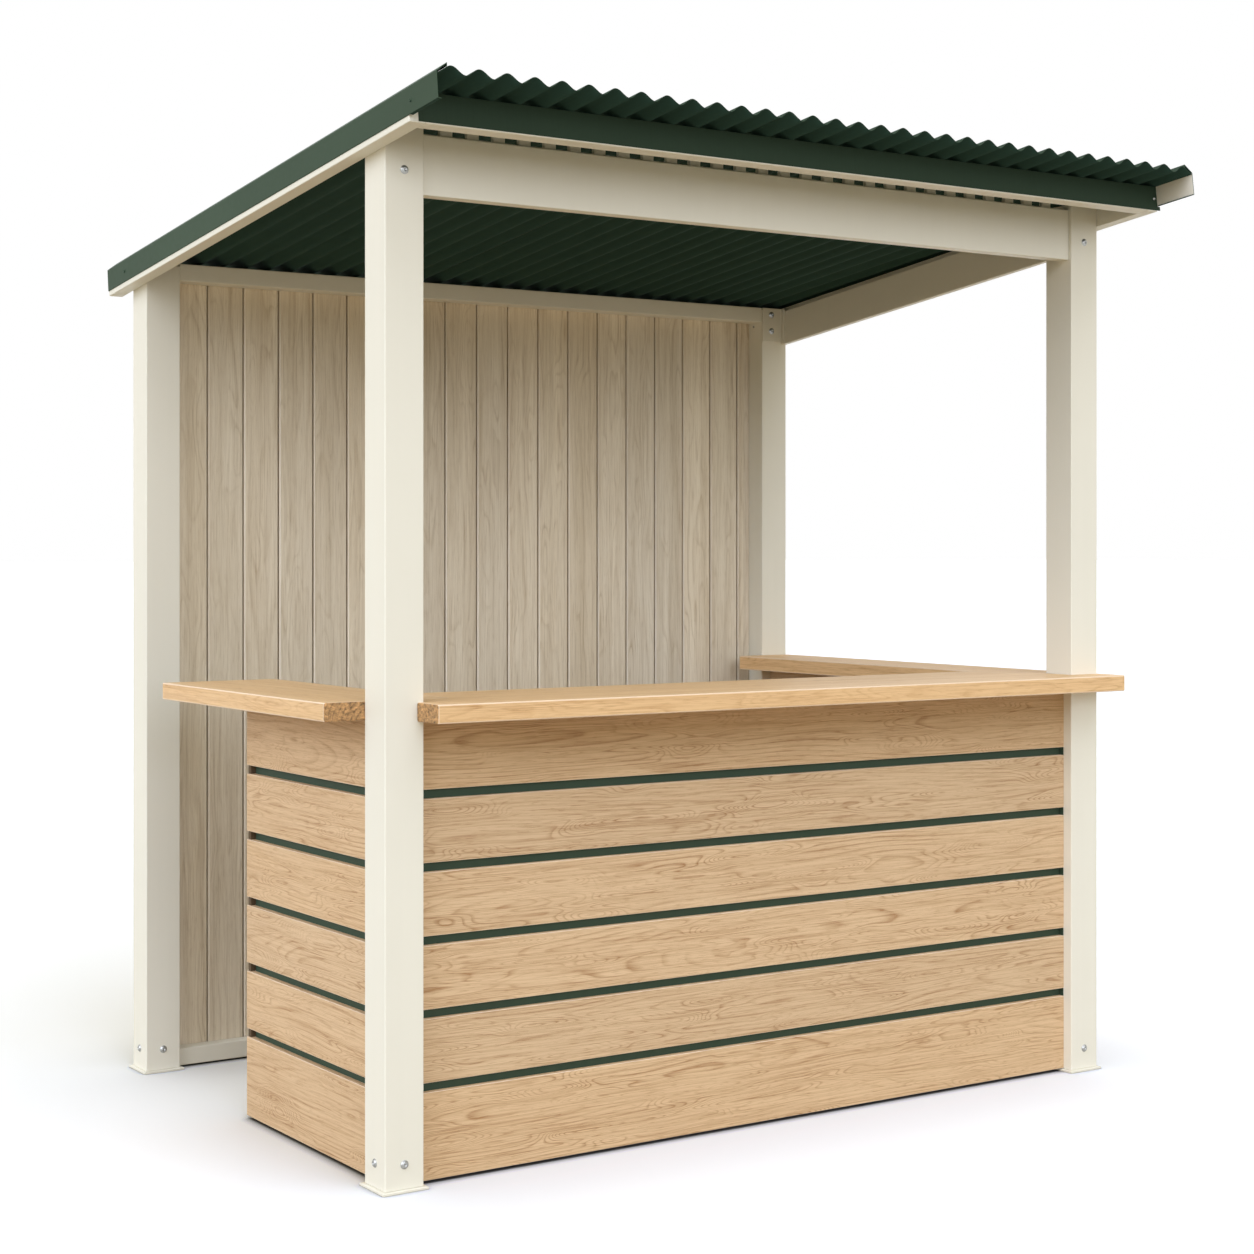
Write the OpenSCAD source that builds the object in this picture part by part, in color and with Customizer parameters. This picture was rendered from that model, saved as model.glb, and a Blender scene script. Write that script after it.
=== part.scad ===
// Open market stall: four painted posts on steel feet, a corrugated lean-to roof that falls
// to the rear, a boarded back wall and a U-shaped slatted counter with oak tops.
// X runs along the front, Y runs from the front to the back wall, Z is up.

/* [Frame] */
// Width over the outer faces of the posts
frame_w = 2260; // [1600:10:3600]
// Depth over the outer faces of the posts
frame_d = 1530; // [1400:10:2400]
// Side of the square posts
post_w = 100; // [80:1:130]
// Side of the square steel foot plates
foot_w = 118; // [105:1:180]
// Thickness of the steel foot plates
foot_t = 6; // [4:0.5:15]
// Plumb drop from the underside of the roof sheets to the top of the front beam
beam_drop = 30; // [20:1:80]
// Depth of the front beam
beam_d = 140; // [90:1:200]
// Thickness of the front beam
beam_t = 40; // [25:1:70]
// Set-back of the front beam behind the faces of the front posts
beam_set = 10; // [0:1:25]
// Depth of the sloping side beam, measured plumb
side_beam_d = 110; // [60:1:180]
// Thickness of the sloping side beam
side_beam_t = 20; // [15:1:60]
// Plumb drop from the underside of the roof sheets to the top of the side beam
side_beam_drop = 17; // [5:1:120]
// Height of the angle brackets at the ends of the side beam
bracket_h = 112; // [40:1:140]
// Plumb drop from the underside of the roof sheets to the top of the angle brackets
bracket_drop = 8; // [4:1:60]
// Length of the leg of the angle brackets that lies on the side beam
bracket_leg = 20; // [12:1:60]
// Thickness of the angle brackets
bracket_t = 5; // [3:0.5:10]

/* [Roof] */
// Fall of the roof towards the rear, in degrees
roof_pitch = 6.7; // [3:0.1:9]
// Height of the underside of the roof sheets above the faces of the front posts
roof_h = 2450; // [2000:1:2900]
// Overhang of the sheets past the front posts, measured down the slope
roof_front = 318; // [240:1:500]
// Overhang of the sheets past the rear posts, measured down the slope
roof_rear = 90; // [60:1:300]
// Width of the roof rails
rail_w = 40; // [30:1:70]
// Depth of the roof rails
rail_d = 70; // [50:1:110]
// Distance from the front posts to the outside of the fascia, measured down the slope
fascia_reach = 186; // [100:1:220]
// Lap of the fascia over the end of the left rail
fascia_lap = 17; // [0:1:25]
// Nominal width of one corrugation
wave_w = 71; // [50:1:130]
// Depth of the corrugations
wave_d = 18; // [8:1:30]
// Plumb thickness of the roof sheets
sheet_t = 1.6; // [0.8:0.1:3]
// Number of whole corrugations on the left sheet
left_waves = 14; // [4:1:18]
// Thickness of the folded flashings and the fascia
flash_t = 2; // [1:0.1:4]
// Drop of the verge flashings below the sheets
flash_drop = 56; // [30:1:68]
// Width of cream rail left showing under the fascia
fascia_reveal = 3; // [0:1:20]
// Width of one tooth of the eave strip under the sheet valleys
tooth_w = 32; // [15:1:45]
// Height of the band that joins the teeth of the eave strip
tooth_band = 4; // [3:1:12]
// Thickness of the eave strip
tooth_t = 12; // [6:1:36]

/* [Back wall] */
// Cover width of one board of the back wall
board_w = 111.5; // [60:0.5:250]
// Thickness of the wall boards
wall_t = 18; // [12:1:30]
// Width of the joint between two boards
groove_w = 4; // [2:0.5:12]
// Depth of the joint between two boards, on each face
groove_d = 4; // [1:0.5:5]
// Gap between the floor and the foot of the back wall
wall_lift = 5; // [0:1:40]
// Height of the rails at the top and foot of the back wall
wall_rail_h = 48; // [30:1:100]
// Front to back thickness of the top rail
top_rail_t = 70; // [50:1:80]
// Front to back thickness of the foot rail
foot_rail_t = 48; // [25:1:50]

/* [Counter] */
// Height of the counter tops
counter_h = 1116; // [960:1:1300]
// Thickness of the counter tops
top_t = 44; // [25:1:70]
// Reach of the front top past the faces of the front posts
top_front = 100; // [40:1:250]
// Reach of the front top behind the faces of the front posts
top_inner = 300; // [160:1:420]
// Overlap of the front top across the face of the left front post
top_lap = 18; // [0:1:60]
// Reach of the left top outside the posts
left_out = 104; // [50:1:250]
// Reach of the left top inside the outer faces of the left posts
left_in = 218; // [160:1:400]
// Distance from the front posts' faces to the rear end of the left top
left_end = 1058; // [960:1:1200]
// Reach of the right top outside the posts
right_out = 8; // [5:1:250]
// Reach of the right top inside the outer faces of the right posts
right_in = 195; // [150:1:400]
// Gap between the counter tops and the posts that pass through them
top_gap = 0.5; // [0.2:0.1:3]
// Set-back of the slats behind the faces of the posts
slat_set = 30; // [5:1:34]
// Thickness of the slats
slat_t = 18; // [12:1:25]
// Gap between two slats
slat_gap = 22; // [8:1:40]
// Number of slats between the top slat and the foot slat
mid_slats = 4; // [1:1:8]
// Height of the top slat
top_slat_h = 161; // [100:1:200]
// Height of the foot slat
foot_slat_h = 203; // [100:1:240]
// Thickness of the green board behind the slats
backing_t = 6; // [3:0.5:12]
// Thickness of the oak lining inside the counter
lining_t = 12; // [6:0.5:15]
// Gap between the floor and the slatted walls
counter_lift = 8; // [5:1:40]
// Distance from the front posts' faces to the free end of the left wall
left_wall_end = 820; // [600:1:900]
// Thickness of the board that closes the free end of the left wall
end_cap_t = 15; // [6:1:30]
// Set-back of the end blocks in the slat gaps behind the face of the slats
block_set = 4; // [0:1:10]
// Length of the foot under the free end of the left wall
wall_foot_l = 60; // [30:1:120]

/* [Hidden] */

cream = "#e9e3d2";
green = "#2f4638";
oak = "#cdae86";
grey_oak = "#b5a88e";
dark = "#22251f";

// Sheets lie this far clear of the rails, and one sheet of the other at the side lap
seat_gap = 0.2;

// Bay between the posts
bay_x0 = post_w;
bay_x1 = frame_w - post_w;
bay_y0 = post_w;
bay_y1 = frame_d - post_w;

// Underside of the front beam
beam_z = roof_h - beam_drop - beam_d;

// Roof sheets: whole waves between the verges
roof_x0 = -rail_w;
roof_x1 = frame_w + rail_w;
waves = round((roof_x1 - roof_x0) / wave_w);
wave_pitch = (roof_x1 - roof_x0) / waves;
wave_steps = 12;
sheet_s0 = -roof_front;
sheet_s1 = frame_d / cos(roof_pitch) + roof_rear;
lap_lift = sheet_t + seat_gap;
// The upper sheet ends just short of the valley, the lower one starts just past the valley before it
lap_over = 0.08;
lap_under = 0.1;

// A verge flange rises in a straight line clear of the first corrugation, to a free edge above its crest
flange_w = 0.37 * wave_pitch;
flange_start = seat_gap + sheet_t + 0.08 * wave_d;
flange_end = seat_gap + sheet_t + 1.245 * wave_d;

// Slatted walls, from the outside inwards
panel_z1 = counter_h - top_t;
mid_slat_h = (panel_z1 - counter_lift - top_slat_h - foot_slat_h - (mid_slats + 1) * slat_gap) / mid_slats;
backing_set = slat_set + slat_t;
lining_set = backing_set + backing_t;
panel_in = lining_set + lining_t;

// Back wall against the rear faces of its rails
wall_y0 = bay_y1 + top_rail_t;
wall_y1 = wall_y0 + wall_t;
wall_rail_z1 = roof_z(wall_y0);
wall_head_gap = 3;

post_head_gap = 3;

// Middle of the whole stall in plan, which becomes the origin
reach_x0 = min(-left_out, roof_x0 - flash_t);
reach_x1 = max(frame_w + right_out, roof_x1 + flash_t);
reach_y0 = sheet_s0 * cos(roof_pitch) - flash_drop * sin(roof_pitch);
reach_y1 = sheet_s1 * cos(roof_pitch) + (flange_end + flash_t) * sin(roof_pitch);
mid_x = (reach_x0 + reach_x1) / 2;
mid_y = (reach_y0 + reach_y1) / 2;

// Height of the underside of the roof sheets at a distance behind the front posts' faces
function roof_z(y) = roof_h - y * tan(roof_pitch);

// Underside of a corrugated sheet at a place across the roof
function wave(x) = seat_gap + wave_d / 2 * (1 - cos(360 * (x - roof_x0) / wave_pitch));

// Smooth step from 0 to 1
function ease(u) = let (v = max(0, min(1, u))) v * v * (3 - 2 * v);

// Lift of the left sheet where it laps over the right one
function lap_rise(x) = lap_lift * ease((x - roof_x0) / wave_pitch - left_waves + 2);

// Moves a piece from the front left corner of the posts to the origin
module placed() {
    translate([-mid_x, -mid_y, 0])
        children();
}

// A box between two corners
module block(low, high) {
    placed()
        translate(low)
            cube(high - low);
}

// A YZ outline, extruded from one place across the stall to another
module across(x0, x1) {
    placed()
        translate([x0, 0, 0])
            rotate([90, 0, 90])
                linear_extrude(x1 - x0)
                    children();
}

// An outline square to the roof's fall, extruded between two places down the slope
module down_slope(s0, s1) {
    placed()
        translate([0, 0, roof_h])
            rotate([-roof_pitch, 0, 0])
                translate([0, s1, 0])
                    rotate([90, 0, 0])
                        linear_extrude(s1 - s0)
                            children();
}

module post(x, y) {
    color(cream)
        block([x, y, foot_t], [x + post_w, y + post_w, roof_z(y + post_w) - post_head_gap]);
}

module foot(x, y) {
    rim = (foot_w - post_w) / 2;
    color(cream)
        block([x - rim, y - rim, 0], [x + post_w + rim, y + post_w + rim, foot_t]);
}

module post_front_left() { post(0, 0); }
module post_front_right() { post(bay_x1, 0); }
module post_rear_left() { post(0, bay_y1); }
module post_rear_right() { post(bay_x1, bay_y1); }

module foot_front_left() { foot(0, 0); }
module foot_front_right() { foot(bay_x1, 0); }
module foot_rear_left() { foot(0, bay_y1); }
module foot_rear_right() { foot(bay_x1, bay_y1); }

module front_beam() {
    color(cream)
        block([bay_x0, beam_set, beam_z], [bay_x1, beam_set + beam_t, beam_z + beam_d]);
}

// Toothed strip on the front beam, with a tooth under each valley of the sheets
module eave_strip() {
    z0 = beam_z + beam_d;
    y0 = beam_set + (beam_t - tooth_t) / 2;
    y1 = y0 + tooth_t;
    valleys = [for (i = [1 : waves - 1]) roof_x0 + i * wave_pitch];
    color(cream) {
        block([bay_x0, y0, z0], [bay_x1, y1, z0 + tooth_band]);
        for (x = valleys)
            if (x - tooth_w / 2 > bay_x0 && x + tooth_w / 2 < bay_x1)
                across(x - tooth_w / 2, x + tooth_w / 2)
                    polygon([[y0, z0], [y1, z0], [y1, roof_z(y1)], [y0, roof_z(y0)]]);
    }
}

// Beam between the right posts, parallel to the roof
module side_beam() {
    top0 = roof_z(bay_y0) - side_beam_drop;
    top1 = roof_z(bay_y1) - side_beam_drop;
    color(cream)
        across(frame_w - side_beam_t, frame_w)
            polygon([
                [bay_y0, top0 - side_beam_d], [bay_y1, top1 - side_beam_d],
                [bay_y1, top1], [bay_y0, top0]
            ]);
}

// Angle bracket in the corner between a right post and the side beam, as wide as the bare post face
module bracket(y, inward) {
    x1 = frame_w - side_beam_t;
    z0 = roof_z(y) - bracket_drop - bracket_h;
    face_leg = post_w - side_beam_t;
    color(cream)
        placed()
            translate([x1, y, z0])
                mirror([0, inward < 0 ? 1 : 0, 0])
                    linear_extrude(bracket_h)
                        polygon([
                            [0, 0], [-face_leg, 0], [-face_leg, bracket_t],
                            [-bracket_t, bracket_t], [-bracket_t, bracket_leg], [0, bracket_leg]
                        ]);
}

module bracket_front() { bracket(bay_y0, 1); }
module bracket_rear() { bracket(bay_y1, -1); }

module roof_rail(x0, s0) {
    color(cream)
        down_slope(s0, sheet_s1)
            translate([x0, -rail_d])
                square([rail_w, rail_d]);
}

// Both side rails stop behind the fascia
module roof_rail_left() { roof_rail(-rail_w, -fascia_reach + flash_t); }
module roof_rail_right() { roof_rail(frame_w, -fascia_reach + flash_t); }

module roof_rail_front() {
    color(cream)
        down_slope(-fascia_reach + flash_t, -fascia_reach + flash_t + rail_w)
            translate([0, -rail_d])
                square([frame_w, rail_d]);
}

// Corrugated outline between two wave counts, lifted where it laps
module corrugated(from, to, lapped) {
    steps = round((to - from) * wave_steps);
    xs = [for (i = [0 : steps]) roof_x0 + wave_pitch * (from + (to - from) * i / steps)];
    under = [for (x = xs) [x, wave(x) + (lapped ? lap_rise(x) : 0)]];
    over = [for (i = [steps : -1 : 0]) under[i] + [0, sheet_t]];
    polygon(concat(under, over));
}

module roof_sheet_left() {
    color(green)
        down_slope(sheet_s0, sheet_s1)
            corrugated(0, left_waves - lap_over, true);
}

module roof_sheet_right() {
    color(green)
        down_slope(sheet_s0, sheet_s1)
            corrugated(left_waves - 1 + lap_under, waves, false);
}

module fascia_front() {
    color(green)
        down_slope(-fascia_reach, -fascia_reach + flash_t)
            translate([-fascia_lap, fascia_reveal - rail_d])
                square([fascia_lap + roof_x1, rail_d - fascia_reveal]);
}

// Folded flashing: a flat drop over the rail and a flange that rises over the first corrugation
module verge_outline() {
    polygon([
        [-flash_t, -flash_drop], [0, -flash_drop], [0, flange_start],
        [flange_w, flange_end], [flange_w, flange_end + flash_t],
        [-flash_t, flange_start + flash_t]
    ]);
}

module verge_left() {
    color(green)
        down_slope(sheet_s0, sheet_s1)
            translate([roof_x0, 0])
                verge_outline();
}

module verge_right() {
    color(green)
        down_slope(sheet_s0, sheet_s1)
            translate([roof_x1, 0])
                mirror([1, 0])
                    verge_outline();
}

module wall_rail_top() {
    color(cream)
        block([bay_x0, bay_y1, wall_rail_z1 - wall_rail_h], [bay_x1, wall_y0, wall_rail_z1]);
}

module wall_rail_foot() {
    color(cream)
        block([bay_x0, wall_y0 - foot_rail_t, wall_lift], [bay_x1, wall_y0, wall_lift + wall_rail_h]);
}

// Boards side by side from the left, the last one cut to fit, with V joints on both faces
module back_wall() {
    joints = [for (x = [bay_x0 + board_w : board_w : bay_x1 - groove_w]) x];
    v = groove_w / 2;
    front = [for (x = joints) each [[x - v, wall_y0], [x, wall_y0 + groove_d], [x + v, wall_y0]]];
    rear = [for (i = [len(joints) - 1 : -1 : 0]) each [
        [joints[i] + v, wall_y1], [joints[i], wall_y1 - groove_d], [joints[i] - v, wall_y1]
    ]];
    color(grey_oak)
        placed()
            translate([0, 0, wall_lift])
                linear_extrude(roof_z(wall_y1) - wall_head_gap - wall_lift)
                    polygon(concat(
                        [[bay_x0, wall_y0]], front, [[bay_x1, wall_y0], [bay_x1, wall_y1]],
                        rear, [[bay_x0, wall_y1]]
                    ));
}

// Boards of a slatted wall between two corners in plan, from the foot slat to the top slat
module slats(low, high) {
    step = mid_slat_h + slat_gap;
    mid_z0 = counter_lift + foot_slat_h + slat_gap;
    color(oak) {
        block([low[0], low[1], counter_lift], [high[0], high[1], counter_lift + foot_slat_h]);
        for (i = [0 : mid_slats - 1])
            block([low[0], low[1], mid_z0 + i * step], [high[0], high[1], mid_z0 + i * step + mid_slat_h]);
        block([low[0], low[1], panel_z1 - top_slat_h], [high[0], high[1], panel_z1]);
    }
}

module backing(low, high) {
    color(green)
        block([low[0], low[1], counter_lift], [high[0], high[1], panel_z1]);
}

module lining(low, high) {
    color(oak)
        block([low[0], low[1], counter_lift], [high[0], high[1], panel_z1]);
}

module front_slats() { slats([bay_x0, slat_set], [bay_x1, backing_set]); }
module front_backing() { backing([bay_x0, backing_set], [bay_x1, lining_set]); }
module front_lining() { lining([bay_x0, lining_set], [bay_x1, panel_in]); }

module left_slats() { slats([slat_set, bay_y0], [backing_set, left_wall_end]); }
module left_backing() { backing([backing_set, bay_y0], [lining_set, left_wall_end - end_cap_t]); }
module left_lining() { lining([lining_set, bay_y0], [panel_in, left_wall_end - end_cap_t]); }

// The board at the free end of the left wall, with blocks on it that close the ends of the slat gaps
module left_end_cap() {
    low = [backing_set, left_wall_end - end_cap_t];
    step = mid_slat_h + slat_gap;
    gap_z0 = counter_lift + foot_slat_h;
    lining(low, [panel_in, left_wall_end]);
    color(oak)
        for (i = [0 : mid_slats])
            block(
                [slat_set + block_set, low[1], gap_z0 + i * step + seat_gap],
                [backing_set, left_wall_end, gap_z0 + i * step + slat_gap - seat_gap]
            );
}

module left_wall_foot() {
    color(dark)
        block([backing_set, left_wall_end - wall_foot_l, 0], [panel_in, left_wall_end, counter_lift]);
}

module right_slats() { slats([frame_w - backing_set, bay_y0], [frame_w - slat_set, bay_y1]); }
module right_backing() { backing([frame_w - lining_set, bay_y0], [frame_w - backing_set, bay_y1]); }
module right_lining() { lining([frame_w - panel_in, bay_y0], [frame_w - lining_set, bay_y1]); }

// A counter top with a plan outline
module counter_top() {
    color(oak)
        placed()
            translate([0, 0, panel_z1])
                linear_extrude(top_t)
                    children();
}

// The front top passes across both front posts and is notched round them from behind
module counter_top_front() {
    side_y = bay_y0 + top_gap;
    counter_top()
        polygon([
            [post_w - top_lap, -top_front], [frame_w + right_out, -top_front], [frame_w + right_out, side_y],
            [frame_w + top_gap, side_y], [frame_w + top_gap, -top_gap], [bay_x1 - top_gap, -top_gap],
            [bay_x1 - top_gap, side_y], [frame_w - right_in, side_y], [frame_w - right_in, top_inner],
            [left_in, top_inner], [left_in, side_y], [post_w + top_gap, side_y],
            [post_w + top_gap, -top_gap], [post_w - top_lap, -top_gap]
        ]);
}

module counter_top_left() {
    counter_top()
        translate([-left_out, bay_y0 + top_gap])
            square([left_out + left_in, left_end - bay_y0 - top_gap]);
}

module counter_top_right() {
    counter_top()
        translate([frame_w - right_in, bay_y0 + top_gap])
            square([right_in + right_out, bay_y1 - bay_y0 - 2 * top_gap]);
}

post_front_left();
post_front_right();
post_rear_left();
post_rear_right();
foot_front_left();
foot_front_right();
foot_rear_left();
foot_rear_right();
front_beam();
eave_strip();
side_beam();
bracket_front();
bracket_rear();
roof_rail_left();
roof_rail_right();
roof_rail_front();
roof_sheet_left();
roof_sheet_right();
fascia_front();
verge_left();
verge_right();
wall_rail_top();
wall_rail_foot();
back_wall();
front_slats();
front_backing();
front_lining();
left_slats();
left_backing();
left_lining();
left_end_cap();
left_wall_foot();
right_slats();
right_backing();
right_lining();
counter_top_front();
counter_top_left();
counter_top_right();
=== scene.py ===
import math

import bmesh
import bpy
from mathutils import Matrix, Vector


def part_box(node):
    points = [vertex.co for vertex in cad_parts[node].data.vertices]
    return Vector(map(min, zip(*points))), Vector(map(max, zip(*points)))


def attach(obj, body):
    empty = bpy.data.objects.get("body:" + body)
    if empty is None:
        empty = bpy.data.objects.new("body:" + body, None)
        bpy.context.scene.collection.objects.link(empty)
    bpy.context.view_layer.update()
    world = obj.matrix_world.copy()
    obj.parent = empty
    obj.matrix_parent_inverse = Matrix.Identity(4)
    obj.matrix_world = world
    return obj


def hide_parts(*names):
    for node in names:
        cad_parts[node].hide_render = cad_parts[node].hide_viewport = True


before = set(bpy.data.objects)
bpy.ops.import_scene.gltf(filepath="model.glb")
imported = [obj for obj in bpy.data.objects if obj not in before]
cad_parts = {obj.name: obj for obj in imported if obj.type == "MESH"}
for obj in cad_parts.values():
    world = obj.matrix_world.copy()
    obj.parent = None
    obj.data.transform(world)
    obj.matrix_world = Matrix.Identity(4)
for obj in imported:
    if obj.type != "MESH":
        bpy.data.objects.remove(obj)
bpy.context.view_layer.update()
scene = bpy.context.scene

# Axes, and the one that each counter wall runs along
X = 0
Y = 1
Z = 2
ALONG = {"front": X, "left": Y, "right": Y}

# Kinds of input that the geometry recipes take
SIZE = "NodeSocketFloat"
COUNT = "NodeSocketInt"
TRIPLE = "NodeSocketVector"
FINISH = "NodeSocketMaterial"
SHAPE = "NodeSocketObject"

# The roof as it is built, in metres, measured from the outer corner of the left front post
ROOF_FALL = math.radians(6.7)
ROOF_HEIGHT = 2.450
SHEET_START = -0.318
REAR_OVERHANG = 0.090
RAIL_WIDTH = 0.040
RAIL_DEPTH = 0.070
FASCIA_REACH = 0.186
WAVE_COUNT = 33
WAVE_DEPTH = 0.018
SHEET_SEAT = 0.0002
SHEET_THICKNESS = 0.0014
LEFT_WAVES = 14
LAP_OVER = 0.08
LAP_UNDER = 0.10
LAP_LIFT = 0.0018
FLASHING_THICKNESS = 0.002
FLASHING_DROP = 0.056
FLANGE_RISE = 0.0247
FLANGE_SHARE = 0.37
HEM_DROP = 0.0072
HEM_THICKNESS = 0.0012
FASCIA_REVEAL = 0.003
FASCIA_TAB = 0.009
TAB_SET = 0.0005
LIP_WIDTHS = {"left": 0.008, "right": 0.003}
LIP_THICKNESS = 0.0016
LIP_END_SET = 0.004
FOLD_END_SET = 0.001
POINTS_A_WAVE = 20
POINTS_DOWN_SHEET = 9

# Counter slats and wall boards, in metres
FOOT_SLAT_HEIGHT = 0.203
TOP_SLAT_HEIGHT = 0.161
SLAT_GAP = 0.022
MIDDLE_SLATS = 4
RETURN_THICKNESS = 0.001
RETURN_SET = 0.0008
BOARD_COVER = 0.1115
BOARD_JOINT = 0.0042
TONGUE_FACE = 0.011
TONGUE_DEPTH = 0.004

# Radii of the rounded arrises, in metres
FRAME_ARRIS = 0.0022
STEEL_ARRIS = 0.0012
STRIP_ARRIS = 0.0008
FOLD_ARRIS = 0.0006
BACKING_ARRIS = 0.0006
LINING_ARRIS = 0.0010
SLAT_ARRIS = 0.0011
TOP_ARRIS = 0.0032
BOARD_ARRIS = 0.0032

# Numbers that give each board its own grain and tone
SLAT_NUMBERS = {"front": 0, "left": 20, "right": 40}
WALL_NUMBER = 100
TONGUE_NUMBER = 140
LINING_NUMBERS = {"front": 200, "left": 201, "right": 201}
END_CAP_NUMBER = 210
TOP_NUMBERS = {"front": 305, "left": 324, "right": 325}

# How squarely a face looks along an axis where it is a board's end, a flat side or a folded side
END_FACING = 0.7
FLAT_FACING = 0.985
SIDE_FACING = 0.9

# Places read off the frame
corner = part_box("post_front_left")[0]
far_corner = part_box("post_rear_right")[1]
FRAME_WIDTH = far_corner.x - corner.x
FRAME_DEPTH = far_corner.y - corner.y
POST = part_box("post_front_left")[1].x - corner.x
ROOF_LEFT = -RAIL_WIDTH
ROOF_RIGHT = FRAME_WIDTH + RAIL_WIDTH
WAVE_PITCH = (ROOF_RIGHT - ROOF_LEFT) / WAVE_COUNT
FLANGE_WIDTH = FLANGE_SHARE * WAVE_PITCH
SHEET_END = FRAME_DEPTH / math.cos(ROOF_FALL) + REAR_OVERHANG


def at(x, y, z):
    """A place in the shared frame, measured from the outer corner of the left front post."""
    return Vector((corner.x + x, corner.y + y, z))


def on_slope(x, down, up):
    """A place measured across the roof, down its slope and up from the underside of the sheets."""
    y = down * math.cos(ROOF_FALL) + up * math.sin(ROOF_FALL)
    z = ROOF_HEIGHT - down * math.sin(ROOF_FALL) + up * math.cos(ROOF_FALL)
    return at(x, y, z)


ROOF_UP = Vector((0, math.sin(ROOF_FALL), math.cos(ROOF_FALL)))
ROOF_DOWN = Vector((0, math.cos(ROOF_FALL), -math.sin(ROOF_FALL)))


# Node trees

def plug(tree, socket, value):
    """Links an output to a socket, or sets the socket's own value."""
    if isinstance(value, bpy.types.Node):
        tree.links.new(value.outputs[0], socket)
    elif isinstance(value, bpy.types.NodeSocket):
        tree.links.new(value, socket)
    else:
        socket.default_value = value


def add(tree, kind, inputs=None, **settings):
    """Adds a node with its settings, then fills the inputs that the dictionary names or numbers."""
    made = tree.nodes.new(kind)
    for name, value in settings.items():
        setattr(made, name, value)
    for key, value in (inputs or {}).items():
        plug(tree, made.inputs[key], value)
    return made


def maths(tree, operation, *values):
    """One step of arithmetic."""
    return add(tree, "ShaderNodeMath", dict(enumerate(values)), operation=operation).outputs[0]


def vectors(tree, operation, *values):
    """One step of vector arithmetic."""
    return add(tree, "ShaderNodeVectorMath", dict(enumerate(values)), operation=operation).outputs[0]


def triple(tree, x=0.0, y=0.0, z=0.0):
    """Three numbers as a vector."""
    return add(tree, "ShaderNodeCombineXYZ", {"X": x, "Y": y, "Z": z}).outputs[0]


def parts_of(tree, vector):
    """The outputs X, Y and Z of a vector."""
    return add(tree, "ShaderNodeSeparateXYZ", {0: vector}).outputs


def smooth_step(tree, value, low, high):
    """A number from 0 to 1 that rises softly between two values."""
    step = add(tree, "ShaderNodeMapRange", interpolation_type="SMOOTHSTEP")
    plug(tree, step.inputs["Value"], value)
    plug(tree, step.inputs["From Min"], low)
    plug(tree, step.inputs["From Max"], high)
    return step.outputs["Result"]


# Geometry recipes

def new_recipe(name, wanted):
    """An empty geometry tree with a named input for each size, and those inputs by name."""
    tree = bpy.data.node_groups.new(name, "GeometryNodeTree")
    tree.interface.new_socket("Geometry", in_out="INPUT", socket_type="NodeSocketGeometry")
    for label, kind in wanted.items():
        tree.interface.new_socket(label, in_out="INPUT", socket_type=kind)
    tree.interface.new_socket("Geometry", in_out="OUTPUT", socket_type="NodeSocketGeometry")
    return tree, tree.nodes.new("NodeGroupInput").outputs


def serve(tree, geometry, finish):
    """Ends a recipe: instances become real and take their material."""
    real = add(tree, "GeometryNodeRealizeInstances", {"Geometry": geometry})
    dressed = add(tree, "GeometryNodeSetMaterial", {"Geometry": real, "Material": finish})
    plug(tree, tree.nodes.new("NodeGroupOutput").inputs[0], dressed)


def remember(tree, geometry, name, value, kind="FLOAT", domain="POINT"):
    """Stores a value on the geometry under a name that the materials read."""
    stored = add(tree, "GeometryNodeStoreNamedAttribute", data_type=kind, domain=domain)
    plug(tree, stored.inputs["Geometry"], geometry)
    plug(tree, stored.inputs["Name"], name)
    plug(tree, stored.inputs["Value"], value)
    return stored


def new_piece(name, mesh=None):
    """An object at the origin, in the scene."""
    piece = bpy.data.objects.new(name, mesh or bpy.data.meshes.new(name))
    scene.collection.objects.link(piece)
    return piece


def settle(piece):
    """Turns a piece's modifiers into a plain mesh."""
    depsgraph = bpy.context.evaluated_depsgraph_get()
    done = piece.evaluated_get(depsgraph)
    mesh = bpy.data.meshes.new_from_object(done, preserve_all_data_layers=True, depsgraph=depsgraph)
    piece.modifiers.clear()
    piece.data = mesh
    return piece


def cook(piece, recipe, values, *finishing):
    """Runs a recipe on a piece with a value for each named input, then any finishing modifiers."""
    step = piece.modifiers.new("recipe", "NODES")
    step.node_group = recipe
    for item in recipe.interface.items_tree:
        if item.in_out == "INPUT" and item.name in values:
            step[item.identifier] = values[item.name]
    for kind, settings in finishing:
        extra = piece.modifiers.new(kind, kind)
        for name, value in settings.items():
            setattr(extra, name, value)
    return settle(piece)


def half(tree, value):
    """Half of a number."""
    return maths(tree, "MULTIPLY", value, 0.5)


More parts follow.
